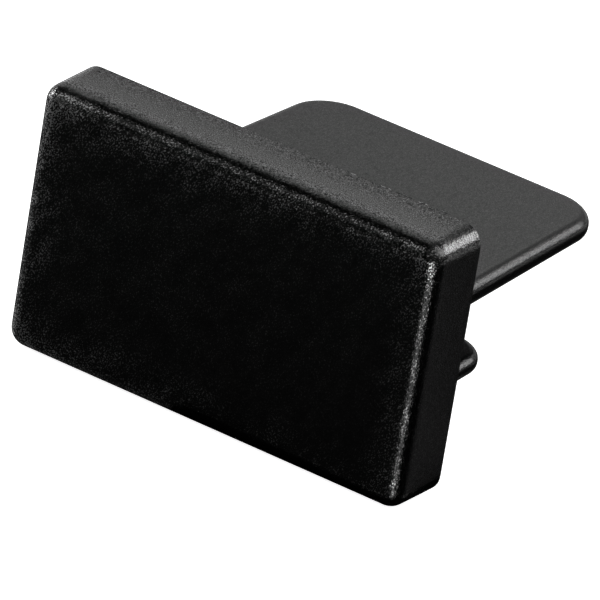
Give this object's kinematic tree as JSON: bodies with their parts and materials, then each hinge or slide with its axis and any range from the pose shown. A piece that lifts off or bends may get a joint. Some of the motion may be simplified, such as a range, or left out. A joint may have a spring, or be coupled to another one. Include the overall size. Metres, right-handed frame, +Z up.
{
  "type": "tube end cap",
  "caption": "Rectangular end cap for a tube: a thick plate with rounded edges, a long flat tongue that slides into the tube and a shorter tongue below it.",
  "frame": {"origin": "middle of the plate's back face, the flat face that seats on the end of the tube", "axes": "+Y out of the back face into the tube, along the tongues; +Z up, towards the long tongue's side; +X along the plate's width"},
  "size_m": [0.025, 0.0228, 0.0152],
  "materials": {
    "moulding": "black moulded plastic with a fine leathery grain on the plate, smoother on the tongues"
  },
  "bodies": {
    "root": {"end_cap": "moulding"}
  },
  "joints": []
}
